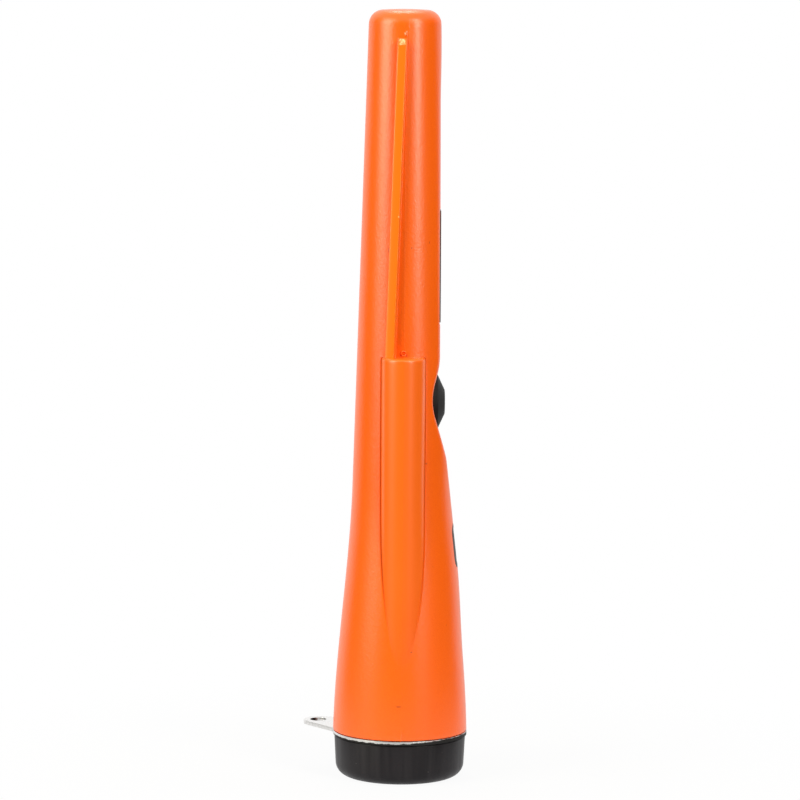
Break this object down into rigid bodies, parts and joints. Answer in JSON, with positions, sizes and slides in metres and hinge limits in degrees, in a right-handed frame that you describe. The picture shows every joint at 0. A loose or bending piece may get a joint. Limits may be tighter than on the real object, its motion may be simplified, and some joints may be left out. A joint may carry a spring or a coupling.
{
  "type": "pinpointer probe",
  "caption": "Hand-held metal-detecting probe: flared orange wand with scraping blade, finger scoop with button, lanyard ring and black screw cap over the battery.",
  "frame": {"origin": "centre of the screw cap's underside, on which the probe stands", "axes": "+Z from the cap up to the tip; +X out of the front with the button; -Y out of the side with the blade"},
  "size_m": [0.0488, 0.04, 0.2288],
  "materials": {
    "orange_plastic": "satin moulded orange plastic",
    "label_black": "dark smooth plate, left bare",
    "button_rubber": "dark grey soft rubber",
    "gasket_rubber": "dull black rubber",
    "lens_clear": "clear plastic",
    "led_resin": "milky resin",
    "cover_plastic": "dark grey plastic",
    "membrane_film": "dull black film",
    "buzzer_case": "black plastic case",
    "carrier_plastic": "natural plastic",
    "screw_steel": "bright steel",
    "board_laminate": "green laminate",
    "chip_resin": "black resin",
    "capacitor_can": "bare aluminium can",
    "switch_case": "black plastic case",
    "plunger_plastic": "white plastic",
    "motor_steel": "plated steel can",
    "weight_tungsten": "sintered grey metal",
    "former_nylon": "natural nylon",
    "coil_copper": "enamelled copper winding",
    "ferrite": "dark grey ferrite",
    "cushion_foam": "grey foam",
    "battery_jacket": "dark printed metal jacket, left bare",
    "connector_plastic": "black plastic",
    "black_plastic": "satin black plastic",
    "pad_foam": "grey foam",
    "seal_rubber": "dark red rubber",
    "ring_steel": "bare steel sheet"
  },
  "bodies": {
    "body": {"housing": "orange_plastic", "label_plate": "label_black", "button_gasket": "gasket_rubber", "led_lens": "lens_clear", "led": "led_resin", "speaker_cover": "cover_plastic", "speaker_membrane": "membrane_film", "buzzer": "buzzer_case", "carrier": "carrier_plastic", "carrier_screw_left": "screw_steel", "carrier_screw_right": "screw_steel", "circuit_board": "board_laminate", "control_chip": "chip_resin", "capacitor": "capacitor_can", "switch_body": "switch_case", "motor_can": "motor_steel", "coil_former": "former_nylon", "search_coil": "coil_copper", "ferrite_rod": "ferrite", "tip_cushion": "cushion_foam", "battery": "battery_jacket", "battery_connector": "connector_plastic"},
    "button": {"power_button": "button_rubber"},
    "plunger": {"switch_plunger": "plunger_plastic"},
    "weight": {"motor_weight": "weight_tungsten"},
    "seal": {"cap_seal": "seal_rubber"},
    "cap": {"end_cap": "black_plastic", "cap_pad": "pad_foam"},
    "ring": {"lanyard_ring": "ring_steel"}
  },
  "joints": [
    {"name": "cap_travel", "type": "slide", "parent": "body", "child": "seal", "axis": [0, 0, -1], "range_m": [0, 0.009]},
    {"name": "cap_turn", "type": "hinge", "parent": "seal", "child": "cap", "pos_m": [0, 0, 0], "axis": [0, 0, -1], "range_deg": [0, 1081]},
    {"name": "lanyard_swivel", "type": "hinge", "parent": "seal", "child": "ring", "pos_m": [0, 0, 0.0131], "axis": [0, 0, 1], "continuous": true},
    {"name": "power_press", "type": "slide", "parent": "body", "child": "button", "axis": [-1, 0, 0], "range_m": [0, 0.0007], "stiffness_N_per_m": 400},
    {"name": "switch_press", "type": "slide", "parent": "body", "child": "plunger", "axis": [-1, 0, 0], "range_m": [0, 0.0007]},
    {"name": "motor_spin", "type": "hinge", "parent": "body", "child": "weight", "pos_m": [0.00175, 0, 0.1364], "axis": [0, 0, 1], "continuous": true}
  ],
  "couplings": [
    {"joint": "cap_turn", "follows": "cap_travel", "rad_per_m": 2094.4},
    {"joint": "switch_press", "follows": "power_press", "ratio": 1}
  ]
}
